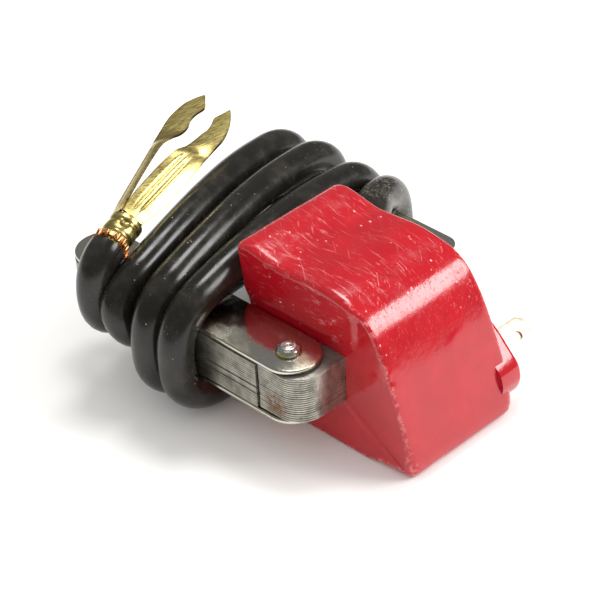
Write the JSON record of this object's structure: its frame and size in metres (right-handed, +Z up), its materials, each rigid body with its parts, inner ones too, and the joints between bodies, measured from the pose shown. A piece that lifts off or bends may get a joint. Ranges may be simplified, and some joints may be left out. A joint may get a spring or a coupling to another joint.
{
  "type": "ignition coil",
  "caption": "Small-engine ignition coil: red moulded coil on a U-shaped laminated core, black high-tension lead wound round the legs, brass plug clip.",
  "frame": {"origin": "on the bench the coil stands on, under the middle of the coil and core without the lead and its clip", "axes": "+X from the open end of the core's legs towards the coil and its steep face, +Y across the legs from the clip side to the terminal side, +Z up"},
  "size_m": [0.0825, 0.0658, 0.0351],
  "materials": {
    "red_resin": "glossy, scuffed",
    "lamination_steel": "stacked sheet edges, oiled",
    "tinned_steel": "bright tinned sheet",
    "rivet_steel": "plated",
    "spade_metal": "tinned brass",
    "brass": "brushed stamping",
    "copper": "bare copper strands and enamelled wire",
    "lead_rubber": "glossy black jacket",
    "bobbin_nylon": "natural nylon",
    "insulation_film": "varnished wrap",
    "wedge_fibre": "vulcanised fibre"
  },
  "bodies": {
    "coil": {"coil_body": "red_resin", "core_bar": "lamination_steel", "core_leg_near": "lamination_steel", "core_leg_far": "lamination_steel", "cheek_top_near": "tinned_steel", "cheek_top_far": "tinned_steel", "cheek_bottom_near": "tinned_steel", "cheek_bottom_far": "tinned_steel", "corner_rivet_near": "rivet_steel", "corner_rivet_far": "rivet_steel", "leg_rivet_near": "rivet_steel", "leg_rivet_far": "rivet_steel", "spade_terminal": "spade_metal", "clip_barrel": "brass", "copper_strands": "copper", "ht_lead_exit": "lead_rubber", "ht_lead_turns": "lead_rubber", "ht_lead_tail": "lead_rubber", "ht_sleeve": "lead_rubber", "ht_contact_pin": "brass", "secondary_lead": "copper", "primary_lead": "copper", "primary_winding": "copper", "secondary_winding": "copper", "bobbin": "bobbin_nylon", "interlayer_sleeve": "insulation_film", "secondary_wrap": "insulation_film", "core_wedge": "wedge_fibre"},
    "left_arm": {"clip_arm_left": "brass"},
    "right_arm": {"clip_arm_right": "brass"}
  },
  "joints": [
    {"name": "left_arm_spring", "type": "hinge", "parent": "coil", "child": "left_arm", "pos_m": [-0.02998, -0.01876, 0.02861], "axis": [0.0436, -0.1372, 0.9896], "range_deg": [0, 5], "stiffness_Nm_per_rad": 0.6},
    {"name": "right_arm_spring", "type": "hinge", "parent": "coil", "child": "right_arm", "pos_m": [-0.02598, -0.01748, 0.02861], "axis": [-0.0436, 0.1372, -0.9896], "range_deg": [0, 5], "stiffness_Nm_per_rad": 0.6}
  ]
}
